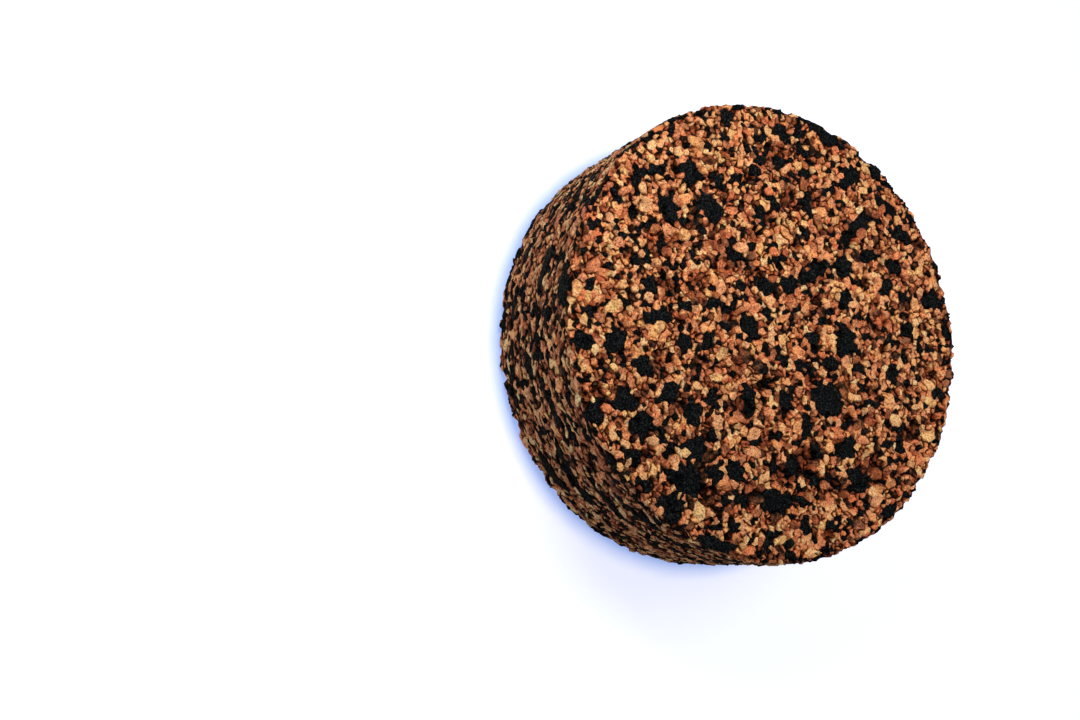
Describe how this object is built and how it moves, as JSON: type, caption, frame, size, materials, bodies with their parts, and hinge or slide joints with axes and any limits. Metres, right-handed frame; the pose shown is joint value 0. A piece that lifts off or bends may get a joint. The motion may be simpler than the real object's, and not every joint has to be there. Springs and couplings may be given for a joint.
{
  "type": "rubber stopper",
  "caption": "Short straight round plug of bonded cork and rubber granules, with flat faces and a granular surface.",
  "frame": {"origin": "centre of the lower face", "axes": "+Z along the plug's axis, from the lower face to the upper one"},
  "size_m": [0.05, 0.05, 0.0175],
  "materials": {
    "cork_rubber": "matte"
  },
  "bodies": {
    "root": {"stopper": "cork_rubber"}
  },
  "joints": []
}
